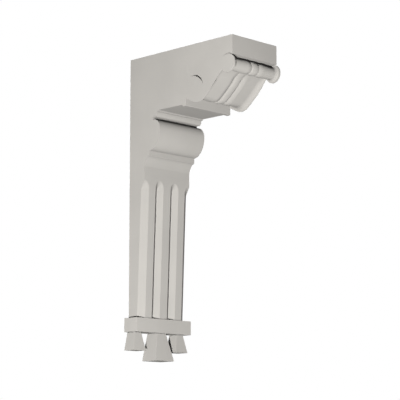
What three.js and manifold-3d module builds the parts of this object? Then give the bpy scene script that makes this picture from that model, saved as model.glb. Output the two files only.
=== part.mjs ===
// Classical wall bracket: a flat-backed body with a fluted shaft, a scroll console under its arm,
// and a foot plate with three drops. Millimetres, +Z up. X runs across the bracket, the wall is
// the plane Y = 0 and the bracket stands out from it towards -Y. The origin is on the back face.
import * as THREE from 'three';
import { mergeVertices } from 'three/addons/utils/BufferGeometryUtils.js';
import Module from 'manifold-3d';

const wasm = await Module();
wasm.setup();

// Driving dimensions. "Depth" is measured out from the wall, "drop" down from the top face.
const bodyWidth = 188.4;
const jointGap = 0.3;

// Arm and top block
const blockDepth = 429.5;
const blockHeight = 57.3;
const armFrontDepth = 222.3;
const armBottomDrop = 174.7;

// Cap moulding under the arm: a fillet over an ovolo, with a deep recess below
const capFilletDepth = 124.8;
const capFilletHeight = 3.9;
const capStep = 6.8;
const capOvoloDepth = 109.7;
const capOvoloBottomDrop = 191.6;
const capOvoloTurn = THREE.MathUtils.degToRad(70);
const recessDepth = 98.5;
const recessTopDrop = 193;

// Swelling below the recess, two quarter ellipses that meet at its widest level
const swellDepth = 130.8;
const swellDrop = 232;
const swellTopDrop = 200;
const swellBottomDrop = 292.4;
const collarDepth = 86.9;
const collarBottomDrop = 308.1;

// Shaft with three shanks, two full flutes and a half flute on each corner
const neckDepth = 65.3;
const neckTopDrop = 339.2;
const taperTopDrop = 393;
const shaftFootDepth = 50.2;
const shaftBottomDrop = 789.5;
const flutePitch = bodyWidth / 3;
const fluteHalfWidth = 16.6;
const fluteDepth = 12.6;
const fluteSpringDrop = 401;
const cornerFluteHalfWidth = 19.5;
const cornerFluteDepth = 13;
const cornerFluteSpringDrop = 405;
const fluteHeadLength = 26;

// Scroll console, flush with the sides of the body
const stripFrontDepth = 240.8;
const stripBottomDrop = 180;
const stripLip = 14;
const noseDepth = 288.8;
const noseDrop = 132.8;
const noseRadius = 43.9;
const noseUndersideAngle = THREE.MathUtils.degToRad(26);
const bandAngle = THREE.MathUtils.degToRad(45);
const bandCrown = 3.5;
const bandCrownLength = 90;
const bandFadeDrop = 108;
const bandMeetDrop = 76;
const rollDepth = 414.7;
const rollDrop = 83.5;
const rollRadius = 25.6;
const rollNeckBack = 6;

// Discs on the ends of the roll, which stand proud and lap a little up the sides of the top block
const discDepth = 413.9;
const discDrop = 82.3;
const discRadius = 27.2;
const discProud = 4.5;

// Cross-section that both the band and the roll carry, as offsets from the middle and shares of
// the full recess
const bandRecess = 14.5;
const rollRecess = 8;
const rimOffset = 92.6;
const bandWaist = { offset: 75, share: 0.86 };
const rollWaist = { offset: 82, share: 1 };
const crestOffset = 32;
const grooveOffset = 15.8;
const beadHalfWidth = 13.8;
const panelShare = 0.7;
const beadRise = 0.34;

// Slot that curves over the eye of the scroll in each cheek
const eyeDepth = 270.3;
const eyeDrop = 137;
const eyeRadius = 42.1;
const eyeStart = THREE.MathUtils.degToRad(16);
const eyeEnd = THREE.MathUtils.degToRad(101);
const eyeHalfWidth = 2.3;
const eyeCut = 14;

// Foot plate and drops
const plateWidth = 224.5;
const plateDepth = 55;
const plateHeight = 42;
const centreDrop = { top: [36, 43], bottom: [77.5, 58], height: 82.3 };
const sideDrop = { top: [26.2, 32.8], bottom: [50, 41.3], height: 53.4 };
const sideDropOffset = 86.5;

// How finely round stretches are divided
const arcSteps = 12;
const circleSteps = 40;

const overallHeight = shaftBottomDrop + plateHeight + centreDrop.height + 2 * jointGap;
const topLevel = overallHeight / 2;
const halfBody = bodyWidth / 2;

const level = (drop) => topLevel - drop;
const at = (x, depth, drop) => new THREE.Vector3(x, -depth, level(drop));

const paint = new THREE.MeshStandardMaterial({ color: 0xbdb9b0, roughness: 0.6, metalness: 0 });

// Join equal rings of points into one closed body. Each ring's plane is given by two axis names.
function loft(rings, u, v) {
  const count = rings[0].length;
  const last = (rings.length - 1) * count;
  const index = [];
  for (let ring = 0; ring < rings.length - 1; ring += 1) {
    for (let i = 0; i < count; i += 1) {
      const a = ring * count + i;
      const b = ring * count + ((i + 1) % count);
      index.push(a, b, b + count, a, b + count, a + count);
    }
  }
  const outline = (ring) => ring.map((p) => new THREE.Vector2(p[u], p[v]));
  const turned = THREE.ShapeUtils.isClockWise(outline(rings[0]));
  for (const [start, ring] of [[0, rings[0]], [last, rings[rings.length - 1]]]) {
    for (const [a, b, c] of THREE.ShapeUtils.triangulateShape(outline(ring), [])) {
      const flip = (start === 0) !== turned;
      index.push(start + a, start + (flip ? c : b), start + (flip ? b : c));
    }
  }
  const geometry = new THREE.BufferGeometry().setFromPoints(rings.flat());
  geometry.setIndex(index);
  if (signedVolume(geometry) < 0) {
    index.reverse();
    geometry.setIndex(index);
  }
  return geometry;
}

function signedVolume(geometry) {
  const points = geometry.getAttribute('position');
  const index = geometry.getIndex().array;
  const [a, b, c] = [new THREE.Vector3(), new THREE.Vector3(), new THREE.Vector3()];
  let volume = 0;
  for (let i = 0; i < index.length; i += 3) {
    a.fromBufferAttribute(points, index[i]);
    b.fromBufferAttribute(points, index[i + 1]);
    c.fromBufferAttribute(points, index[i + 2]);
    volume += a.dot(b.cross(c)) / 6;
  }
  return volume;
}

function toSolid(source) {
  const geometry = source.clone();
  geometry.deleteAttribute('normal');
  geometry.deleteAttribute('uv');
  const merged = mergeVertices(geometry, 1e-4);
  return new wasm.Manifold(new wasm.Mesh({
    numProp: 3,
    vertProperties: new Float32Array(merged.getAttribute('position').array),
    triVerts: new Uint32Array(merged.getIndex().array),
  }));
}

function toGeometry(solid) {
  const mesh = solid.getMesh();
  const geometry = new THREE.BufferGeometry();
  geometry.setAttribute('position', new THREE.BufferAttribute(mesh.vertProperties, 3));
  geometry.setIndex(new THREE.BufferAttribute(mesh.triVerts, 1));
  geometry.computeVertexNormals();
  return geometry;
}

// Closed body with a side outline drawn as (depth, level), reaching across from one X to another
function extrudeAcross(shape, fromX, toX) {
  const geometry = new THREE.ExtrudeGeometry(shape, {
    depth: toX - fromX,
    steps: 1,
    curveSegments: arcSteps,
    bevelEnabled: false,
  });
  geometry.applyMatrix4(new THREE.Matrix4().makeBasis(
    new THREE.Vector3(0, -1, 0), new THREE.Vector3(0, 0, 1), new THREE.Vector3(-1, 0, 0)));
  geometry.translate(toX, 0, 0);
  return toSolid(geometry);
}

function piece(name, geometry) {
  const mesh = new THREE.Mesh(geometry, paint.clone());
  mesh.name = name;
  return mesh;
}

// Body: one outline from the wall outwards, extruded across the full width
function bodyOutline() {
  const shape = new THREE.Shape();
  const swellCentre = collarDepth;
  const topCentre = recessDepth + 4;
  shape.moveTo(0, level(0));
  shape.lineTo(0, level(shaftBottomDrop));
  shape.lineTo(shaftFootDepth, level(shaftBottomDrop));
  shape.lineTo(neckDepth, level(taperTopDrop));
  shape.lineTo(neckDepth, level(neckTopDrop));
  shape.quadraticCurveTo(
    neckDepth + 4.5, level(collarBottomDrop + 4), collarDepth, level(collarBottomDrop));
  shape.lineTo(collarDepth, level(swellBottomDrop));
  shape.absellipse(
    swellCentre, level(swellDrop), swellDepth - swellCentre, swellBottomDrop - swellDrop,
    -Math.PI / 2, 0, false, 0);
  shape.absellipse(
    topCentre, level(swellDrop), swellDepth - topCentre, swellDrop - swellTopDrop,
    0, Math.PI / 2, false, 0);
  shape.lineTo(recessDepth, level(swellTopDrop));
  shape.lineTo(recessDepth, level(recessTopDrop));
  const stepDrop = armBottomDrop + capFilletHeight;
  const ovoloOut = capFilletDepth - capStep - capOvoloDepth;
  const ovoloDown = (capOvoloBottomDrop - stepDrop) / Math.sin(capOvoloTurn);
  shape.lineTo(capOvoloDepth + ovoloOut * Math.cos(capOvoloTurn), level(recessTopDrop));
  shape.absellipse(
    capOvoloDepth, level(stepDrop), ovoloOut, ovoloDown, -capOvoloTurn, 0, false, 0);
  shape.lineTo(capFilletDepth, level(stepDrop));
  shape.lineTo(capFilletDepth, level(armBottomDrop));
  shape.lineTo(armFrontDepth, level(armBottomDrop));
  shape.lineTo(armFrontDepth, level(blockHeight));
  shape.lineTo(blockDepth, level(blockHeight));
  shape.lineTo(blockDepth, level(0));
  shape.closePath();
  return shape;
}

// Depth of the shaft's front face, which leans back towards the foot
function shaftFace(drop) {
  const run = (drop - taperTopDrop) / (shaftBottomDrop - taperTopDrop);
  return THREE.MathUtils.lerp(neckDepth, shaftFootDepth, Math.max(0, run));
}

// V-shaped flute that ends upwards in half of an elliptic cone
function flute(x, halfWidth, springDrop, depth) {
  const margin = 4;
  const reach = 1 + margin / depth;
  const half = [0.12, 0.3, 0.5, 0.75, reach];
  const sides = [...half.slice().reverse().map((side) => -side), 0, ...half];
  const ring = (drop, rise) => sides.map((side) => {
    const cut = depth * (1 - Math.hypot(side, rise));
    return at(x + side * halfWidth, shaftFace(drop) - cut, drop);
  });
  const rings = [ring(shaftBottomDrop + margin, 0)];
  const pastTip = 1.04;
  for (let i = 0; i <= arcSteps; i += 1) {
    const rise = pastTip * Math.sin(i / arcSteps * Math.PI / 2);
    rings.push(ring(springDrop - rise * fluteHeadLength, rise));
  }
  return toSolid(loft(rings, 'x', 'y'));
}

function makeBody() {
  let body = extrudeAcross(bodyOutline(), -halfBody, halfBody);
  for (const side of [-1, 1]) {
    body = body.subtract(flute(side * flutePitch / 2, fluteHalfWidth, fluteSpringDrop, fluteDepth));
    const corner = flute(side * halfBody, cornerFluteHalfWidth, cornerFluteSpringDrop, cornerFluteDepth);
    body = body.subtract(corner);
  }
  return toGeometry(body);
}

// How far the scroll's face lies below its rims at a distance from the middle, as a share of 1
function sectionShare(offset, waist) {
  const { lerp } = THREE.MathUtils;
  if (offset >= rimOffset) return 0;
  if (offset >= waist.offset) {
    const run = (rimOffset - offset) / (rimOffset - waist.offset);
    return waist.share * Math.sqrt(1 - (1 - run) ** 2);
  }
  if (offset >= crestOffset) {
    return lerp(waist.share, panelShare, (waist.offset - offset) / (waist.offset - crestOffset));
  }
  if (offset >= grooveOffset) {
    return lerp(panelShare, 1, ((crestOffset - offset) / (crestOffset - grooveOffset)) ** 2);
  }
  if (offset >= beadHalfWidth) return 1;
  return 1 - beadRise * Math.sqrt(1 - (offset / beadHalfWidth) ** 2);
}

// Stations across the scroll, close together where the section turns
function sectionStations(waist) {
  const { lerp } = THREE.MathUtils;
  const half = [0, 0.35, 0.65, 0.87, 1].map((share) => share * beadHalfWidth);
  for (const share of [0, 0.2, 0.5, 1]) half.push(lerp(grooveOffset, crestOffset, share));
  const turnSteps = 7;
  for (let i = 0; i <= turnSteps; i += 1) {
    half.push(lerp(waist.offset, rimOffset, Math.sin(i / turnSteps * Math.PI / 2)));
  }
  half.push(halfBody);
  return [...half.slice(1).reverse().map((offset) => -offset), ...half];
}

// Side outline of the strip, nose and band where their face lies "recess" below the rims. Inside
// the roll the band turns straight up, so a neck joins the roll to the block.
function scrollOutline(x, recess) {
  const back = armFrontDepth + jointGap;
  const top = blockHeight + jointGap;
  const radius = noseRadius - recess;
  const start = -Math.PI / 2 - noseUndersideAngle;
  const end = -Math.PI / 2 + bandAngle;
  const onNose = (angle) => [
    noseDepth + radius * Math.cos(angle),
    noseDrop - radius * Math.sin(angle),
  ];
  const lipDepth = stripFrontDepth - stripLip;
  const [underDepth, underDrop] = onNose(start);
  const rise = (underDepth - stripFrontDepth) * Math.tan(noseUndersideAngle);
  const ring = [
    at(x, back, top),
    at(x, back, armBottomDrop),
    at(x, lipDepth, armBottomDrop),
    at(x, lipDepth + 1.5, stripBottomDrop),
    at(x, stripFrontDepth, stripBottomDrop),
    at(x, stripFrontDepth, underDrop - rise),
  ];
  for (let i = 0; i <= arcSteps; i += 1) {
    const [depth, drop] = onNose(THREE.MathUtils.lerp(start, end, i / arcSteps));
    ring.push(at(x, depth, drop));
  }
  const [leaveDepth, leaveDrop] = onNose(end);
  const bandSteps = 12;
  for (let i = 1; i <= bandSteps; i += 1) {
    const climbed = (leaveDrop - top) * i / bandSteps;
    const drop = leaveDrop - climbed;
    const along = Math.min(1, climbed / Math.sin(bandAngle) / bandCrownLength);
    const crown = bandCrown * Math.sin(Math.PI * along);
    const fade = THREE.MathUtils.smoothstep(bandFadeDrop - drop, 0, bandFadeDrop - bandMeetDrop);
    const forward = (crown + fade * recess) / Math.sin(bandAngle);
    const depth = leaveDepth + climbed / Math.tan(bandAngle) + forward;
    ring.push(at(x, Math.min(depth, rollDepth - rollNeckBack), drop));
  }
  return ring;
}

function circleRing(x, depth, drop, radius) {
  const ring = [];
  for (let i = 0; i < circleSteps; i += 1) {
    const angle = i / circleSteps * 2 * Math.PI;
    ring.push(at(x, depth + radius * Math.cos(angle), drop - radius * Math.sin(angle)));
  }
  return ring;
}

// Disc on one end of the roll, cut back where it laps over the top block
function rollEnd(side) {
  const sunk = 1.3;
  const rings = [halfBody - sunk, halfBody + discProud].map(
    (x) => circleRing(side * x, discDepth, discDrop, discRadius));
  const clear = new THREE.BoxGeometry(
    bodyWidth + 2 * jointGap, 2 * blockDepth, 2 * (blockHeight + jointGap));
  clear.translate(0, -blockDepth, topLevel);
  return toSolid(loft(rings, 'y', 'z')).subtract(toSolid(clear));
}

// Slot over the eye, widest in the middle of its run
function eyeSlot(side) {
  const edge = (sign) => {
    const points = [];
    for (let i = 0; i <= circleSteps / 2; i += 1) {
      const run = i / (circleSteps / 2);
      const angle = THREE.MathUtils.lerp(eyeStart, eyeEnd, run);
      const half = eyeHalfWidth * Math.sin(Math.PI * run) ** 0.7 + 0.05;
      const radius = eyeRadius + sign * half;
      points.push(new THREE.Vector2(
        eyeDepth + radius * Math.cos(angle), level(eyeDrop) + radius * Math.sin(angle)));
    }
    return points;
  };
  const margin = 3;
  const ends = [side * (halfBody - eyeCut), side * (halfBody + margin)];
  return extrudeAcross(
    new THREE.Shape([...edge(1), ...edge(-1).reverse()]), Math.min(...ends), Math.max(...ends));
}

function makeScroll() {
  const bandRing = (x) => scrollOutline(x, bandRecess * sectionShare(Math.abs(x), bandWaist));
  const rollRing = (x) => {
    const sunk = rollRecess * sectionShare(Math.abs(x), rollWaist);
    return circleRing(x, rollDepth, rollDrop, rollRadius - sunk);
  };
  const band = toSolid(loft(sectionStations(bandWaist).map(bandRing), 'y', 'z'));
  const roll = toSolid(loft(sectionStations(rollWaist).map(rollRing), 'y', 'z'));
  let scroll = band.add(roll);
  for (const side of [-1, 1]) {
    scroll = scroll.add(rollEnd(side)).subtract(eyeSlot(side));
  }
  return toGeometry(scroll);
}

// Drop: a flat-backed block that spreads towards the bottom, hung from its own top
function makeDrop({ top, bottom, height }) {
  const ring = ([width, depth], z) => [
    new THREE.Vector3(-width / 2, 0, z),
    new THREE.Vector3(-width / 2, -depth, z),
    new THREE.Vector3(width / 2, -depth, z),
    new THREE.Vector3(width / 2, 0, z),
  ];
  return loft([ring(top, 0), ring(bottom, -height)], 'x', 'y');
}

function makeFoot() {
  const foot = new THREE.Group();
  foot.position.z = level(shaftBottomDrop + jointGap);
  const plate = piece('foot_plate', new THREE.BoxGeometry(plateWidth, plateDepth, plateHeight));
  plate.position.set(0, -plateDepth / 2, -plateHeight / 2);
  foot.add(plate);
  const drops = [
    ['drop_left', -sideDropOffset, sideDrop],
    ['drop_centre', 0, centreDrop],
    ['drop_right', sideDropOffset, sideDrop],
  ];
  for (const [name, x, size] of drops) {
    const drop = piece(name, makeDrop(size));
    drop.position.set(x, 0, -plateHeight - jointGap);
    foot.add(drop);
  }
  return foot;
}

const bracket = new THREE.Group();
bracket.add(piece('bracket_body', makeBody()));
bracket.add(piece('scroll_console', makeScroll()));
bracket.add(makeFoot());

export default bracket;
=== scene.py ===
import bpy
import bmesh
from math import pi, sin, cos, tan, acos, radians, sqrt
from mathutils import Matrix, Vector


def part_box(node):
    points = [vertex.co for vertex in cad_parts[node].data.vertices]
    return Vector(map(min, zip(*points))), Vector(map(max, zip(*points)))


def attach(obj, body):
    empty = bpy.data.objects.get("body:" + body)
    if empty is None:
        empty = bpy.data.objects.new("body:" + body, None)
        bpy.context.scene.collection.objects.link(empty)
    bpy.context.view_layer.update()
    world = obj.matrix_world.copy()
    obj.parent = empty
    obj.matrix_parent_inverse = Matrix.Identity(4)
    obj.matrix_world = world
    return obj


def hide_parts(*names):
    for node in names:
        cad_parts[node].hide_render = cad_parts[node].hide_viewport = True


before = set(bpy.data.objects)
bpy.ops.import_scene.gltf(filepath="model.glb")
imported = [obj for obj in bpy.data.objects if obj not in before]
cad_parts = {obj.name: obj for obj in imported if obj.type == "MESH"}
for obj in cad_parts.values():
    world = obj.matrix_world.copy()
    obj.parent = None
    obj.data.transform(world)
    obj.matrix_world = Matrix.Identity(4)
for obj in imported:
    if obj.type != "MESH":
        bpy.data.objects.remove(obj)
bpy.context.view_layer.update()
scene = bpy.context.scene
mm = 0.001
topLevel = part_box("bracket_body")[1].z  # drops are measured down from here, depths out from the wall
print("frame loaded, top face at", round(topLevel, 4))


def place(x, depth, drop):
    return Vector((x * mm, -depth * mm, topLevel - drop * mm))


def mix(a, b, share):
    return a + (b - a) * share


def curvePoint(start, bend, end, t):
    return start * (1 - t) ** 2 + bend * (2 * t * (1 - t)) + end * t ** 2


cornerCurve = {"steps": 4, "reachShare": 0.45}


def easeCorners(points):
    # points are (depth, drop, ease); an eased corner becomes a short curve
    out = []
    count = len(points)
    steps, share = cornerCurve["steps"], cornerCurve["reachShare"]
    for i, (depth, drop, ease) in enumerate(points):
        here = Vector((depth, drop))
        if not ease:
            out.append((depth, drop))
            continue
        back = Vector(points[i - 1][:2]) - here
        ahead = Vector(points[(i + 1) % count][:2]) - here
        reach = min(ease, back.length * share, ahead.length * share)
        start = here + back.normalized() * reach
        end = here + ahead.normalized() * reach
        for step in range(steps + 1):
            spot = curvePoint(start, here, end, step / steps)
            out.append((spot.x, spot.y))
    return out


def ellipseRun(depth, drop, acrossRadius, downRadius, fromAngle, toAngle, steps):
    run = []
    for i in range(steps + 1):
        angle = radians(mix(fromAngle, toAngle, i / steps))
        run.append((depth + acrossRadius * cos(angle), drop - downRadius * sin(angle), 0))
    return run


def meshFromRings(name, rings):
    mesh = bpy.data.meshes.new(name)
    count = len(rings[0])
    faces = []
    for r in range(len(rings) - 1):
        for i in range(count):
            a = r * count + i
            b = r * count + (i + 1) % count
            faces.append((a, b, b + count, a + count))
    faces.append(tuple(reversed(range(count))))
    faces.append(tuple(range((len(rings) - 1) * count, len(rings) * count)))
    mesh.from_pydata([tuple(p) for ring in rings for p in ring], [], faces)
    shell = bmesh.new()
    shell.from_mesh(mesh)
    bmesh.ops.recalc_face_normals(shell, faces=shell.faces)
    shell.to_mesh(mesh)
    shell.free()
    return mesh


def addObject(name, data):
    obj = bpy.data.objects.new(name, data)
    scene.collection.objects.link(obj)
    return obj


def settle(obj):
    # turns the modified shape into a plain mesh
    graph = bpy.context.evaluated_depsgraph_get()
    graph.update()
    mesh = bpy.data.meshes.new_from_object(obj.evaluated_get(graph))
    obj.modifiers.clear()
    obj.data = mesh
    return obj


def smoothFaces(obj, angle):
    obj.data.shade_smooth()
    obj.data.set_sharp_from_angle(angle=radians(angle))


def evenShading(obj):
    level = obj.modifiers.new("evenShading", "WEIGHTED_NORMAL")
    level.keep_sharp = True


edgeSizes = {"segments": 3, "sharpAngle": 30.0}


def easeEdges(obj, width):
    bevel = obj.modifiers.new("easedEdges", "BEVEL")
    bevel.width = width * mm
    bevel.segments = edgeSizes["segments"]
    bevel.limit_method = "ANGLE"
    bevel.angle_limit = radians(edgeSizes["sharpAngle"])
    evenShading(obj)


def fixTo(obj, node):
    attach(obj, "root")
    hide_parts(node)
    obj.visible_diffuse = False  # no bounce, so hollows and joints stay dark
    obj.visible_glossy = False


# number node in any kind of tree
def math(tree, operation, *values):
    node = tree.nodes.new("ShaderNodeMath")
    node.operation = operation
    for socket, value in zip(node.inputs, values):
        if isinstance(value, bpy.types.NodeSocket):
            tree.links.new(value, socket)
        else:
            socket.default_value = value
    return node.outputs[0]


# pale warm-grey satin paint
paintLook = {
    "tone": (0.54, 0.520, 0.487, 1.0),
    "toneWorn": (0.513, 0.494, 0.463, 1.0),
    "roughness": 0.32,
    "specular": 0.14,
    "chalk": 0.2,
    "bump": 0.05,
    "bumpHeight": 0.0006,
    "cloudScale": 9.0,
    "cloudDetail": 5.0,
    "cloudRange": (0.3, 0.62),
    "brushScale": (420.0, 420.0, 18.0),
    "brushDetail": 3.0,
    "glossSpread": (-0.05, 0.07),
}
# painted shade held in the hairline along the back of each band rim and behind the left flange of the
# roll, standing in for the shade in these creases
paintedShadeLook = {
    "lineStart": (335.4, 153.3),
    "lineEnd": (391.8, 94.9),
    "lineHalfWidth": 2.0,
    "lineTone": 0.25,
    "lineTaper": 0.3,
    "cheek": 94.0,
    "flange": 83.5,
    "flangeHalfWidth": 5.0,
    "flangeTop": 58.0,
    "flangeFade": (80.0, 96.0),
    "flangeDepth": 404.0,
    "flangeTone": 0.05,
}


def paintedShadeShare(tree, where):
    # 1 on plain paint, less where the painted shade sits
    g = paintedShadeLook
    axes = tree.nodes.new("ShaderNodeSeparateXYZ")
    tree.links.new(where, axes.inputs[0])
    across = math(tree, "DIVIDE", math(tree, "ABSOLUTE", axes.outputs["X"]), mm)
    depth = math(tree, "DIVIDE", axes.outputs["Y"], -mm)
    drop = math(tree, "DIVIDE", math(tree, "SUBTRACT", topLevel, axes.outputs["Z"]), mm)
    start, end = Vector(g["lineStart"]), Vector(g["lineEnd"])
    run = (end - start).normalized()
    out, down = math(tree, "SUBTRACT", depth, start.x), math(tree, "SUBTRACT", drop, start.y)

    def near(value, half):
        share = math(tree, "SUBTRACT", 1.0, math(tree, "DIVIDE", math(tree, "ABSOLUTE", value), half))
        return math(tree, "MAXIMUM", share, 0.0)

    def times(value, factor):
        return math(tree, "MULTIPLY", value, factor)

    aside = math(tree, "SUBTRACT", times(out, run.y), times(down, run.x))
    along = math(tree, "ADD", times(out, run.x), times(down, run.y))
    half = (end - start).length / 2
    # painted shade: a dark hairline along the back of the band rim, thinning towards its ends
    held = math(tree, "POWER", near(math(tree, "SUBTRACT", along, half), half), g["lineTaper"])
    line = times(near(aside, g["lineHalfWidth"]), held)
    line = times(line, math(tree, "GREATER_THAN", across, g["cheek"]))
    line = times(line, 1 - g["lineTone"])
    # painted shade in the corner behind the left flange of the roll, strongest at the top and fading
    # downwards
    high, low = g["flangeFade"]
    fade = math(tree, "DIVIDE", math(tree, "SUBTRACT", low, drop), low - high)
    fade = math(tree, "MINIMUM", math(tree, "MAXIMUM", fade, 0.0), 1.0)
    leftward = math(tree, "DIVIDE", axes.outputs["X"], -mm)
    corner = near(math(tree, "SUBTRACT", leftward, g["flange"]), g["flangeHalfWidth"])
    corner = times(times(corner, fade), 1 - g["flangeTone"])
    corner = times(corner, math(tree, "GREATER_THAN", depth, g["flangeDepth"]))
    corner = times(corner, math(tree, "GREATER_THAN", drop, g["flangeTop"]))
    return math(tree, "SUBTRACT", math(tree, "SUBTRACT", 1.0, line), corner)


def makePaint():
    paint = bpy.data.materials.new("paleSatinPaint")
    paint.use_nodes = True
    nodes, links = paint.node_tree.nodes, paint.node_tree.links
    shader = nodes["Principled BSDF"]
    shader.inputs["Specular IOR Level"].default_value = paintLook["specular"]
    shader.inputs["Diffuse Roughness"].default_value = paintLook["chalk"]
    where = nodes.new("ShaderNodeTexCoord")
    cloud = nodes.new("ShaderNodeTexNoise")
    cloud.inputs["Scale"].default_value = paintLook["cloudScale"]
    cloud.inputs["Detail"].default_value = paintLook["cloudDetail"]
    links.new(where.outputs["Object"], cloud.inputs["Vector"])
    tones = nodes.new("ShaderNodeMix")
    tones.data_type = "RGBA"
    tones.inputs["A"].default_value = paintLook["toneWorn"]
    tones.inputs["B"].default_value = paintLook["tone"]
    spread = nodes.new("ShaderNodeMapRange")
    for end, value in zip(("From Min", "From Max"), paintLook["cloudRange"]):
        spread.inputs[end].default_value = value
    links.new(cloud.outputs["Fac"], spread.inputs["Value"])
    links.new(spread.outputs["Result"], tones.inputs["Factor"])
    # multiplies the painted crease shade into the paint colour
    shadeMultiply = nodes.new("ShaderNodeMix")
    shadeMultiply.data_type = "RGBA"
    shadeMultiply.blend_type = "MULTIPLY"
    shadeMultiply.inputs["Factor"].default_value = 1.0
    links.new(tones.outputs["Result"], shadeMultiply.inputs["A"])
    links.new(paintedShadeShare(paint.node_tree, where.outputs["Object"]), shadeMultiply.inputs["B"])
    links.new(shadeMultiply.outputs["Result"], shader.inputs["Base Color"])
    # brush marks run with the grain, up and down
    stretch = nodes.new("ShaderNodeMapping")
    stretch.inputs["Scale"].default_value = paintLook["brushScale"]
    links.new(where.outputs["Object"], stretch.inputs["Vector"])
    brush = nodes.new("ShaderNodeTexNoise")
    brush.inputs["Scale"].default_value = 1.0
    brush.inputs["Detail"].default_value = paintLook["brushDetail"]
    links.new(stretch.outputs["Vector"], brush.inputs["Vector"])
    gloss = nodes.new("ShaderNodeMapRange")
    for end, shift in zip(("To Min", "To Max"), paintLook["glossSpread"]):
        gloss.inputs[end].default_value = paintLook["roughness"] + shift
    links.new(brush.outputs["Fac"], gloss.inputs["Value"])
    links.new(gloss.outputs["Result"], shader.inputs["Roughness"])
    bump = nodes.new("ShaderNodeBump")
    bump.inputs["Strength"].default_value = paintLook["bump"]
    bump.inputs["Distance"].default_value = paintLook["bumpHeight"]
    links.new(brush.outputs["Fac"], bump.inputs["Height"])
    links.new(bump.outputs["Normal"], shader.inputs["Normal"])
    return paint


paint = makePaint()
print("paint made")


# small helpers for the node trees
def newTree(name):
    tree = bpy.data.node_groups.new(name, "GeometryNodeTree")
    tree.interface.new_socket("Geometry", in_out="INPUT", socket_type="NodeSocketGeometry")
    tree.interface.new_socket("Geometry", in_out="OUTPUT", socket_type="NodeSocketGeometry")
    return tree, tree.nodes.new("NodeGroupInput"), tree.nodes.new("NodeGroupOutput")


def addSize(tree, name, kind="NodeSocketFloat"):
    tree.interface.new_socket(name, in_out="INPUT", socket_type=kind)


def useTree(obj, tree, sizes):
    modifier = obj.modifiers.new(tree.name, "NODES")
    modifier.node_group = tree
    for item in tree.interface.items_tree:
        if item.in_out == "INPUT" and item.name in sizes:
            modifier[item.identifier] = sizes[item.name]
    return settle(obj)


def splitPosition(tree):
    spot = tree.nodes.new("GeometryNodeInputPosition")
    axes = tree.nodes.new("ShaderNodeSeparateXYZ")
    tree.links.new(spot.outputs[0], axes.inputs[0])
    return axes.outputs


def coatShape(tree, shape, coat, made):
    # every tree ends as real faces with the paint on
    real = tree.nodes.new("GeometryNodeRealizeInstances")
    tree.links.new(shape, real.inputs["Geometry"])
    painted = tree.nodes.new("GeometryNodeSetMaterial")
    tree.links.new(real.outputs["Geometry"], painted.inputs["Geometry"])
    tree.links.new(coat, painted.inputs["Material"])
    tree.links.new(painted.outputs["Geometry"], made.inputs["Geometry"])


# body: one profile across the whole width, flutes cut into the shaft
bodySizes = {
    "blockDepth": 429.5,
    "blockHeight": 57.3,
    "armFront": 222.3,
    "armBottom": 174.7,
    "capFillet": (124.8, 178.6),
    "capStep": 118.0,
    "capOvolo": (109.7, 191.6),
    "ovoloTurn": 70.0,
    "ovoloSteps": 10,
    "recess": (98.5, 193.0),
    "swell": (130.8, 232.0),
    "swellTop": 200.0,
    "swellBottom": 292.4,
    "swellSetIn": 4.0,
    "swellSteps": (24, 20),
    "collar": (86.9, 308.1),
    "neck": (65.3, 339.2),
    "neckBend": (4.5, 4.0),
    "neckSteps": 15,
    "taperTop": 393.0,
    "taperSteps": 10,
    "foot": (50.2, 789.5),
    "headTop": 362.0,
    "headBottom": 414.0,
    "headRows": 44,
    "columnGap": 1.25,
    "sharpAngle": 24.0,
    "ease": 1.4,
    "ovoloEase": 0.5,
    "filletEase": 2.2,
    "armEase": 0.8,
    "blockEase": 0.2,
}
fluteSizes = {
    "Flute Offset": 31.4 * mm,
    "Corner Offset": 94.2 * mm,
    "Half Width": 16.6 * mm,
    "Corner Half Width": 19.5 * mm,
    "Depth": 12.6 * mm,
    "Corner Depth": 13.0 * mm,
    "Corner Round": 1.0 * mm,
    "Round Width": 5.5 * mm,
    "Spring Level": topLevel - 401.0 * mm,
    "Corner Spring Level": topLevel - 405.0 * mm,
    "Head Length": 26.0 * mm,
}


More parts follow.
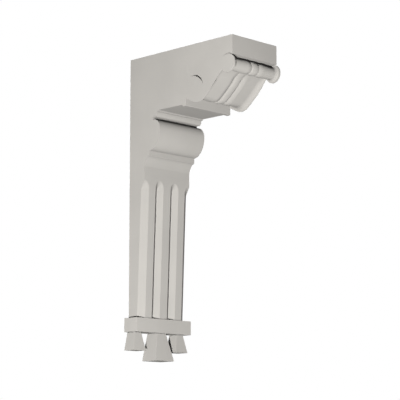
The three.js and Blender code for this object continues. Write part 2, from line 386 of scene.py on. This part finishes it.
def bodyProfile():
    s = bodySizes
    ease = s["ease"]
    foot, footDrop = s["foot"]
    neck, neckDrop = s["neck"]
    collar, collarDrop = s["collar"]
    swell, swellDrop = s["swell"]
    recess, recessDrop = s["recess"]
    fillet, filletDrop = s["capFillet"]
    ovolo, ovoloDrop = s["capOvolo"]
    start = [(0, 0, ease), (0, footDrop, 0)]
    face = [(foot, footDrop, 0)]
    steps, rows = s["taperSteps"], s["headRows"]
    for i in range(1, steps - 1):  # the close rows of the flute heads take over above
        face.append((mix(foot, neck, i / steps), mix(footDrop, s["taperTop"], i / steps), 0))
    for i in range(rows + 1):
        drop = mix(s["headBottom"], s["headTop"], i / rows)
        lean = max(0.0, (drop - s["taperTop"]) / (footDrop - s["taperTop"]))
        face.append((mix(neck, foot, lean), drop, 0))
    rest = [(neck, neckDrop, 0)]
    bend = Vector((neck, collarDrop)) + Vector(s["neckBend"])
    for i in range(1, s["neckSteps"]):
        spot = curvePoint(Vector(s["neck"]), bend, Vector(s["collar"]), i / s["neckSteps"])
        rest.append((spot.x, spot.y, 0))
    rest.append((collar, collarDrop, ease))
    under, over = s["swellSteps"]
    rest += ellipseRun(collar, swellDrop, swell - collar, s["swellBottom"] - swellDrop, -90, 0, under)
    centre = recess + s["swellSetIn"]
    rest += ellipseRun(centre, swellDrop, swell - centre, swellDrop - s["swellTop"], 0, 90, over)[1:]
    turn = s["ovoloTurn"]
    ovoloOut, ovoloDown = s["capStep"] - ovolo, (ovoloDrop - filletDrop) / sin(radians(turn))
    rest += [(recess, s["swellTop"], 0), (recess, recessDrop, 0)]
    rest.append((ovolo + ovoloOut * cos(radians(turn)), recessDrop, s["ovoloEase"]))
    rest += ellipseRun(ovolo, filletDrop, ovoloOut, ovoloDown, -turn, 0, s["ovoloSteps"])
    rest += [(fillet, filletDrop, s["filletEase"]), (fillet, s["armBottom"], 0)]
    rest += [(s["armFront"], s["armBottom"], s["armEase"]), (s["armFront"], s["blockHeight"], 0)]
    rest += [(s["blockDepth"], s["blockHeight"], s["blockEase"]), (s["blockDepth"], 0, ease)]
    return start + face + rest


def bodyColumns():
    # columns fall exactly on the arrises and valleys of the flutes
    half, cornerHalf = fluteSizes["Half Width"] / mm, fluteSizes["Corner Half Width"] / mm
    flute, corner = fluteSizes["Flute Offset"] / mm, fluteSizes["Corner Offset"] / mm
    marks = [0.0, flute - half, flute, flute + half, corner - cornerHalf, corner]
    right = [0.0]
    for a, b in zip(marks, marks[1:]):
        steps = round((b - a) / bodySizes["columnGap"])
        right += [mix(a, b, i / steps) for i in range(1, steps + 1)]
    return [-x for x in reversed(right[1:])] + right


def buildBody():
    outline = easeCorners(bodyProfile())
    rings = [[place(x, depth, drop) for depth, drop in outline] for x in bodyColumns()]
    mesh = meshFromRings("bracketBody", rings)
    onFace = mesh.attributes.new("shaftFace", "FLOAT", "POINT")
    count = len(outline)
    slack = 1.0
    for v in range(len(mesh.vertices)):
        depth, drop = outline[v % count]
        onFace.data[v].value = float(depth > slack and drop > bodySizes["headTop"] - slack)
    return addObject("bracketBody", mesh)


def fluteTree():
    tree, given, made = newTree("shaftFlutes")
    for name in fluteSizes:
        addSize(tree, name)
    addSize(tree, "Paint", "NodeSocketMaterial")
    size = given.outputs
    spot = splitPosition(tree)
    across = math(tree, "ABSOLUTE", spot["X"])

    def cut(offset, half, depth, spring):
        side = math(tree, "DIVIDE", math(tree, "SUBTRACT", across, offset), half)
        above = math(tree, "DIVIDE", math(tree, "SUBTRACT", spot["Z"], spring), size["Head Length"])
        rise = math(tree, "POWER", math(tree, "MAXIMUM", above, 0.0), 2.0)
        reach = math(tree, "SQRT", math(tree, "ADD", math(tree, "MULTIPLY", side, side), rise))
        deep = math(tree, "MULTIPLY", depth, math(tree, "SUBTRACT", 1.0, reach))
        return math(tree, "MAXIMUM", deep, 0.0), rise

    inner = cut(size["Flute Offset"], size["Half Width"], size["Depth"], size["Spring Level"])[0]
    corner, cornerRise = cut(size["Corner Offset"], size["Corner Half Width"], size["Corner Depth"],
                             size["Corner Spring Level"])
    # the outer arris of the corner flutes is rounded over
    inset = math(tree, "SUBTRACT", size["Corner Offset"], across)
    inset = math(tree, "DIVIDE", inset, size["Round Width"])

    def remaining(share):
        return math(tree, "MAXIMUM", math(tree, "SUBTRACT", 1.0, share), 0.0)

    lip = math(tree, "MULTIPLY", math(tree, "POWER", remaining(inset), 2.0), remaining(cornerRise))
    corner = math(tree, "ADD", corner, math(tree, "MULTIPLY", lip, size["Corner Round"]))
    push = tree.nodes.new("ShaderNodeCombineXYZ")
    tree.links.new(math(tree, "MAXIMUM", inner, corner), push.inputs["Y"])
    onFace = tree.nodes.new("GeometryNodeInputNamedAttribute")
    onFace.inputs["Name"].default_value = "shaftFace"
    move = tree.nodes.new("GeometryNodeSetPosition")
    tree.links.new(size["Geometry"], move.inputs["Geometry"])
    chosen = math(tree, "GREATER_THAN", onFace.outputs["Attribute"], 0.5)
    tree.links.new(chosen, move.inputs["Selection"])
    tree.links.new(push.outputs[0], move.inputs["Offset"])
    coatShape(tree, move.outputs["Geometry"], size["Paint"], made)
    return tree


body = useTree(buildBody(), fluteTree(), {**fluteSizes, "Paint": paint})
smoothFaces(body, bodySizes["sharpAngle"])
evenShading(body)
fixTo(body, "bracket_body")
print("body made,", len(body.data.polygons), "faces")


# scroll console: strip, nose, band and roll, one outline at each station across
scrollSizes = {
    "halfWidth": 94.2,
    "back": 222.32,
    "top": 57.32,
    "armBottom": 174.7,
    "bottom": 180.0,
    "lip": 14.0,
    "lipSlope": 1.5,
    "stripFront": 240.8,
    "stripEase": 1.0,
    "nose": (288.8, 132.8),
    "noseRadius": 43.9,
    "noseSteps": 30,
    "underAngle": 26.0,
    "bandAngle": 45.0,
    "bandCrown": 3.5,
    "bandCrownLength": 90.0,
    "bandFadeDrop": 108.0,
    "bandMeetDrop": 76.0,
    "bandSteps": 24,
    "roll": (414.7, 83.5),
    "rollRadius": 25.6,
    "rollSteps": 61,
    "neckBack": 6.0,
    "disc": (413.9, 82.3),
    "discRadius": 27.2,
    "discInner": 94.22,
    "discOuter": 98.7,
    "discEase": 0.5,
    "discSteps": 72,
    "plugLength": 1.3,
    "plugSetIn": 0.4,
    "bandRecess": 14.5,
    "rollRecess": 8.0,
    "rim": 92.6,
    "bandWaist": (75.0, 0.86),
    "rollWaist": (82.0, 1.0),
    "crest": 32.0,
    "groove": 15.8,
    "bead": 13.8,
    "panelShare": 0.7,
    "beadRise": 0.34,
    "beadSteps": 8,
    "grooveSteps": 14,
    "rimSteps": 14,
    "sharpAngle": 34.0,
    "ease": 0.3,
    "easeSteps": 4,
}


def sectionShare(offset, waist):
    # 0 on the rims, 1 at the bottom of the grooves beside the bead
    s = scrollSizes
    edge, depth = waist
    if offset >= s["rim"]:
        return 0.0
    if offset >= edge:
        run = (s["rim"] - offset) / (s["rim"] - edge)
        return depth * sqrt(1 - (1 - run) ** 2)
    if offset >= s["crest"]:
        return mix(depth, s["panelShare"], (edge - offset) / (edge - s["crest"]))
    if offset >= s["groove"]:
        run = (s["crest"] - offset) / (s["crest"] - s["groove"])
        return mix(s["panelShare"], 1.0, run ** 2)
    if offset >= s["bead"]:
        return 1.0
    return 1 - s["beadRise"] * sqrt(max(0.0, 1 - (offset / s["bead"]) ** 2))


def scrollStations():
    s = scrollSizes

    def closing(steps):
        # shares from 0 to 1 that crowd together at the end
        return [sin(i / steps * pi / 2) for i in range(steps + 1)]

    half = [s["bead"] * share for share in closing(s["beadSteps"])]
    half.append(mix(s["bead"], s["groove"], 0.5))
    half += [mix(s["groove"], s["crest"], i / s["grooveSteps"]) for i in range(s["grooveSteps"] + 1)]
    for waist in (s["bandWaist"], s["rollWaist"]):
        half += [mix(waist[0], s["rim"], share) for share in closing(s["rimSteps"])]
    flat = s["halfWidth"] - s["ease"]
    half.append(mix(s["crest"], s["bandWaist"][0], 0.5))
    half += [flat + s["ease"] * share for share in closing(s["easeSteps"])]
    half = sorted(set(half))
    return [-x for x in reversed(half[1:])] + half


def scrollOutline(x):
    s = scrollSizes
    offset = abs(x)
    past = max(0.0, offset - (s["halfWidth"] - s["ease"]))
    rounded = s["ease"] - sqrt(max(0.0, s["ease"] ** 2 - past ** 2))
    sunk = s["bandRecess"] * sectionShare(offset, s["bandWaist"]) + rounded
    noseDepth, noseDrop = s["nose"]
    radius = s["noseRadius"] - sunk
    under, climb = radians(s["underAngle"]), radians(s["bandAngle"])

    def onNose(angle):
        return noseDepth + radius * cos(angle), noseDrop - radius * sin(angle)

    fromAngle, toAngle = -pi / 2 - under, -pi / 2 + climb
    underDepth, underDrop = onNose(fromAngle)
    strip = s["stripFront"] - rounded
    low = s["bottom"] - rounded
    line = [(s["back"], s["top"]), (s["back"], s["armBottom"]), (strip - s["lip"], s["armBottom"])]
    line.append((strip - s["lip"] + s["lipSlope"], low))
    line += [(strip - s["stripEase"], low), (strip, low - s["stripEase"])]
    line.append((strip, underDrop - (underDepth - strip) * tan(under)))
    steps = s["noseSteps"]
    line += [onNose(mix(fromAngle, toAngle, i / steps)) for i in range(steps + 1)]
    leaveDepth, leaveDrop = onNose(toAngle)

    def onBand(run):
        climbed = (leaveDrop - s["top"]) * run
        drop = leaveDrop - climbed
        along = min(1.0, climbed / sin(climb) / s["bandCrownLength"])
        crown = s["bandCrown"] * sin(pi * along)
        fade = (s["bandFadeDrop"] - drop) / (s["bandFadeDrop"] - s["bandMeetDrop"])
        fade = min(1.0, max(0.0, fade))
        fade = fade * fade * (3 - 2 * fade)
        return leaveDepth + climbed / tan(climb) + (crown + fade * (sunk - rounded)) / sin(climb), drop

    rollDepth, rollDrop = s["roll"]
    rollRadius = s["rollRadius"] - s["rollRecess"] * sectionShare(offset, s["rollWaist"]) - rounded

    def inRoll(run):
        depth, drop = onBand(run)
        return (depth - rollDepth) ** 2 + (drop - rollDrop) ** 2 < rollRadius ** 2

    def meetRoll(strides=400, halvings=40):
        # the first stride inside the roll, then closed in on by halves
        inside = next(i / strides for i in range(strides + 1) if inRoll(i / strides))
        outside = inside - 1 / strides
        for _ in range(halvings):
            middle = (outside + inside) / 2
            if inRoll(middle):
                inside = middle
            else:
                outside = middle
        return outside

    meeting = meetRoll()
    steps = s["bandSteps"]
    line += [onBand(meeting * i / steps) for i in range(1, steps + 1)]
    startDepth, startDrop = onBand(meeting)
    # round under the front of the roll and over its top to the neck that joins it to the block
    fromTurn = -Vector((1, 0)).angle_signed((startDepth - rollDepth, rollDrop - startDrop))
    if fromTurn > 0:
        fromTurn -= 2 * pi
    toTurn = acos(-s["neckBack"] / rollRadius)
    for i in range(1, s["rollSteps"] + 1):
        turn = mix(fromTurn, toTurn, i / s["rollSteps"])
        line.append((rollDepth + rollRadius * cos(turn), rollDrop - rollRadius * sin(turn)))
    line.append((rollDepth - s["neckBack"], s["top"]))
    return [place(x, depth, drop) for depth, drop in line]


# slot round the eye of each cheek, and a shallow lead line down to it
eyeSizes = {
    "centre": (270.3, 137.0),
    "radius": 42.1,
    "fromAngle": 16.0,
    "toAngle": 101.0,
    "halfWidth": 2.3,
    "tipHalfWidth": 0.05,
    "tipTaper": 0.7,
    "cut": 14.0,
    "clear": 3.0,
    "steps": 40,
    "leadStart": (243.5, 58.5),
    "leadBend": (247.5, 82.0),
    "leadEnd": (262.5, 95.0),
    "leadWidth": 7.0,
    "leadLip": 0.8,
    "leadCut": 1.3,
    "leadShares": (0.15, 0.85),
    "leadSwell": 0.8,
    "leadClear": 2.0,
    "leadSteps": 24,
}


def eyeCutter(side):
    e = eyeSizes
    depth, drop = e["centre"]
    outer, inner = [], []
    for i in range(e["steps"] + 1):
        turn = radians(mix(e["fromAngle"], e["toAngle"], i / e["steps"]))
        half = e["halfWidth"] * sin(pi * i / e["steps"]) ** e["tipTaper"] + e["tipHalfWidth"]
        for run, radius in ((outer, e["radius"] + half), (inner, e["radius"] - half)):
            run.append((depth + radius * cos(turn), drop - radius * sin(turn)))
    outline = outer + inner[::-1]
    face = scrollSizes["halfWidth"]
    rings = [[place(side * (face + out), *spot) for spot in outline] for out in (e["clear"], -e["cut"])]
    return meshFromRings("eyeCutter", rings)


def leadCutter(side):
    # slopes gently in from behind and comes out in a short lip
    e = eyeSizes
    face, clear = scrollSizes["halfWidth"], e["leadClear"]
    least, more = e["leadShares"]
    start, bend, end = Vector(e["leadStart"]), Vector(e["leadBend"]), Vector(e["leadEnd"])
    rings = []
    for i in range(e["leadSteps"] + 1):
        t = i / e["leadSteps"]
        spot = curvePoint(start, bend, end, t)
        along = ((bend - start) * (1 - t) + (end - bend) * t).normalized()
        rearward = Vector((-along.y, along.x))
        share = least + more * sin(t * pi * e["leadSwell"])
        cut = e["leadCut"] * share
        over = 1 + clear / cut
        rear = spot + rearward * e["leadWidth"] * share * over
        front = spot - rearward * e["leadLip"] * share * over
        rings.append([place(side * (face + clear), *rear), place(side * (face + clear), *front),
                      place(side * (face - cut), *spot)])
    return meshFromRings("leadCutter", rings)


def rollDisc(side):
    # a short plug in the end of the roll carries the disc, which laps a little up the side of the block
    s = scrollSizes
    inner, outer, radius, ease = s["discInner"], s["discOuter"], s["discRadius"], s["discEase"]
    plug = s["rollRadius"] - s["plugSetIn"]
    steps = [(inner - s["plugLength"], s["roll"], plug), (inner, s["roll"], plug)]
    steps += [(inner, s["disc"], radius), (outer - ease, s["disc"], radius)]
    steps.append((outer, s["disc"], radius - ease))
    turns = [2 * pi * i / s["discSteps"] for i in range(s["discSteps"])]
    rings = []
    for x, (depth, drop), reach in steps:
        rings.append([place(side * x, depth + reach * cos(t), drop - reach * sin(t)) for t in turns])
    return meshFromRings("rollDisc", rings)


def buildScroll():
    rings = [scrollOutline(x) for x in scrollStations()]
    scroll = addObject("scrollConsole", meshFromRings("scrollConsole", rings))
    tools = []
    for side in (-1, 1):
        steps = [(rollDisc, "UNION"), (eyeCutter, "DIFFERENCE"), (leadCutter, "DIFFERENCE")]
        for makeTool, operation in steps:
            mesh = makeTool(side)
            tool = addObject(mesh.name, mesh)
            change = scroll.modifiers.new(mesh.name, "BOOLEAN")
            change.operation = operation
            change.solver = "EXACT"
            change.object = tool
            tools.append(tool)
    settle(scroll)
    for tool in tools:
        bpy.data.objects.remove(tool)
    scroll.data.materials.clear()
    scroll.data.materials.append(paint)
    return scroll


scroll = buildScroll()
smoothFaces(scroll, scrollSizes["sharpAngle"])
evenShading(scroll)
fixTo(scroll, "scroll_console")
print("scroll made,", len(scroll.data.polygons), "faces")


# foot plate
plateSizes = {"width": 224.5, "depth": 55.0, "top": 789.8, "height": 42.0, "ease": 0.5}


def buildPlate():
    p = plateSizes
    half = p["width"] / 2
    rings = []
    for drop in (p["top"], p["top"] + p["height"]):
        rings.append([place(-half, 0, drop), place(-half, p["depth"], drop),
                      place(half, p["depth"], drop), place(half, 0, drop)])
    return addObject("footPlate", meshFromRings("footPlate", rings))


plate = buildPlate()
plate.data.materials.append(paint)
plate.data.shade_smooth()
easeEdges(plate, plateSizes["ease"])
fixTo(plate, "foot_plate")
print("foot plate made")


# three flared drops from one tree
dropSizes = {"top": 832.1, "sideOffset": 86.5, "ease": 0.5}
centreDrop = {
    "Top Width": 36.0, "Top Depth": 43.0,
    "Bottom Width": 77.5, "Bottom Depth": 58.0, "Height": 82.3,
}
sideDrop = {
    "Top Width": 26.2, "Top Depth": 32.8,
    "Bottom Width": 50.0, "Bottom Depth": 41.3, "Height": 53.4,
}
dropPieces = [
    ("dropLeft", "drop_left", sideDrop, -dropSizes["sideOffset"]),
    ("dropCentre", "drop_centre", centreDrop, 0.0),
    ("dropRight", "drop_right", sideDrop, dropSizes["sideOffset"]),
]


def dropTree():
    tree, given, made = newTree("flaredDrop")
    for name in (*centreDrop, "Offset", "Level"):
        addSize(tree, name)
    addSize(tree, "Paint", "NodeSocketMaterial")
    size = given.outputs
    block = tree.nodes.new("GeometryNodeMeshCube")  # 1 m each way about the origin
    spot = splitPosition(tree)
    up = math(tree, "ADD", spot["Z"], 0.5)

    def spread(low, high):
        return math(tree, "ADD", low, math(tree, "MULTIPLY", math(tree, "SUBTRACT", high, low), up))

    join = tree.nodes.new("ShaderNodeCombineXYZ")
    wide = math(tree, "MULTIPLY", spot["X"], spread(size["Bottom Width"], size["Top Width"]))
    tree.links.new(math(tree, "ADD", wide, size["Offset"]), join.inputs["X"])
    out = math(tree, "SUBTRACT", spot["Y"], 0.5)
    deep = math(tree, "MULTIPLY", out, spread(size["Bottom Depth"], size["Top Depth"]))
    tree.links.new(deep, join.inputs["Y"])
    hang = math(tree, "MULTIPLY", math(tree, "SUBTRACT", up, 1.0), size["Height"])
    tree.links.new(math(tree, "ADD", hang, size["Level"]), join.inputs["Z"])
    move = tree.nodes.new("GeometryNodeSetPosition")
    tree.links.new(block.outputs["Mesh"], move.inputs["Geometry"])
    tree.links.new(join.outputs[0], move.inputs["Position"])
    coatShape(tree, move.outputs["Geometry"], size["Paint"], made)
    return tree


flaredDrop = dropTree()
dropLevel = topLevel - dropSizes["top"] * mm
for name, node, sizes, offset in dropPieces:
    drop = addObject(name, bpy.data.meshes.new(name))
    values = {key: value * mm for key, value in sizes.items()}
    useTree(drop, flaredDrop, {**values, "Offset": offset * mm, "Level": dropLevel, "Paint": paint})
    drop.data.shade_smooth()
    easeEdges(drop, dropSizes["ease"])
    fixTo(drop, node)
print("drops made")


# pale floor well below and white surroundings, in metres
stageSizes = {
    "floorLevel": -1.6,
    "floorReach": 40.0,
    "floorTone": (0.3, 0.3, 0.3, 1),
    "floorRoughness": 0.9,
    "floorGlow": 0.8,
    "surround": 0.035,
}
# one key light in front to the left and below, soft lights behind and above
lightSizes = {
    "keyLight": {"spot": (-2.585, -2.36, -1.1), "aim": (0, -0.15, 0), "size": 0.28, "power": 161.0},
    "fillLight": {"spot": (2.6, 3.0, 0.9), "aim": (0, -0.1, 0), "size": 1.6, "power": 190.0},
    "topLight": {"spot": (0.3, 0.4, 3.4), "aim": (0, -0.2, 0), "size": 1.6, "power": 90.0},
}
white = (1, 1, 1, 1)


def makeFloor():
    mesh = bpy.data.meshes.new("floor")
    reach, low = stageSizes["floorReach"], stageSizes["floorLevel"]
    corners = [(-reach, -reach, low), (reach, -reach, low), (reach, reach, low), (-reach, reach, low)]
    mesh.from_pydata(corners, [], [(0, 1, 2, 3)])
    floor = addObject("floor", mesh)
    pale = bpy.data.materials.new("paleFloor")
    pale.use_nodes = True
    shader = pale.node_tree.nodes["Principled BSDF"]
    shader.inputs["Base Color"].default_value = stageSizes["floorTone"]
    shader.inputs["Roughness"].default_value = stageSizes["floorRoughness"]
    shader.inputs["Specular IOR Level"].default_value = 0.0
    shader.inputs["Emission Color"].default_value = white
    shader.inputs["Emission Strength"].default_value = stageSizes["floorGlow"]
    mesh.materials.append(pale)
    floor.visible_diffuse = False  # keeps its bounce off the undersides
    floor.visible_glossy = False


def makeLight(name, spot, aim, size, power):
    lamp = bpy.data.lights.new(name, "AREA")
    lamp.shape = "DISK"
    lamp.size = size
    lamp.energy = power
    obj = addObject(name, lamp)
    obj.location = spot
    obj.rotation_euler = (Vector(aim) - Vector(spot)).to_track_quat("-Z", "Y").to_euler()
    obj.visible_glossy = False  # the paint shows no glare from any side


def makeSurround():
    world = bpy.data.worlds.new("studio")
    scene.world = world
    world.use_nodes = True
    nodes, links = world.node_tree.nodes, world.node_tree.links
    ground = nodes["Background"]
    ground.inputs["Color"].default_value = white
    ground.inputs["Strength"].default_value = stageSizes["surround"]
    seen = nodes.new("ShaderNodeBackground")
    seen.inputs["Color"].default_value = white
    path = nodes.new("ShaderNodeLightPath")
    pick = nodes.new("ShaderNodeMixShader")
    links.new(path.outputs["Is Camera Ray"], pick.inputs[0])
    links.new(ground.outputs[0], pick.inputs[1])
    links.new(seen.outputs[0], pick.inputs[2])
    links.new(pick.outputs[0], nodes["World Output"].inputs["Surface"])


makeFloor()
makeSurround()
for name, sizes in lightSizes.items():
    makeLight(name, **sizes)
scene.view_settings.view_transform = "Standard"
scene.view_settings.look = "None"

# camera at the photograph's angle, in front to the left and below
viewSizes = {
    "place": (-3.1937, -3.3734, -0.7186),
    "heading": 45.231,
    "pitch": 9.224,
    "lens": 138.48,
    "sensor": 36.0,
    "farthest": 200.0,
}
camera = bpy.data.cameras.new("camera")
camera.sensor_width = viewSizes["sensor"]
camera.lens = viewSizes["lens"]
camera.clip_end = viewSizes["farthest"]
cameraObject = addObject("camera", camera)
cameraObject.location = viewSizes["place"]
cameraObject.rotation_euler = (radians(90 + viewSizes["pitch"]), 0, -radians(viewSizes["heading"]))
scene.camera = cameraObject
print("stage made")

bpy.context.view_layer.update()
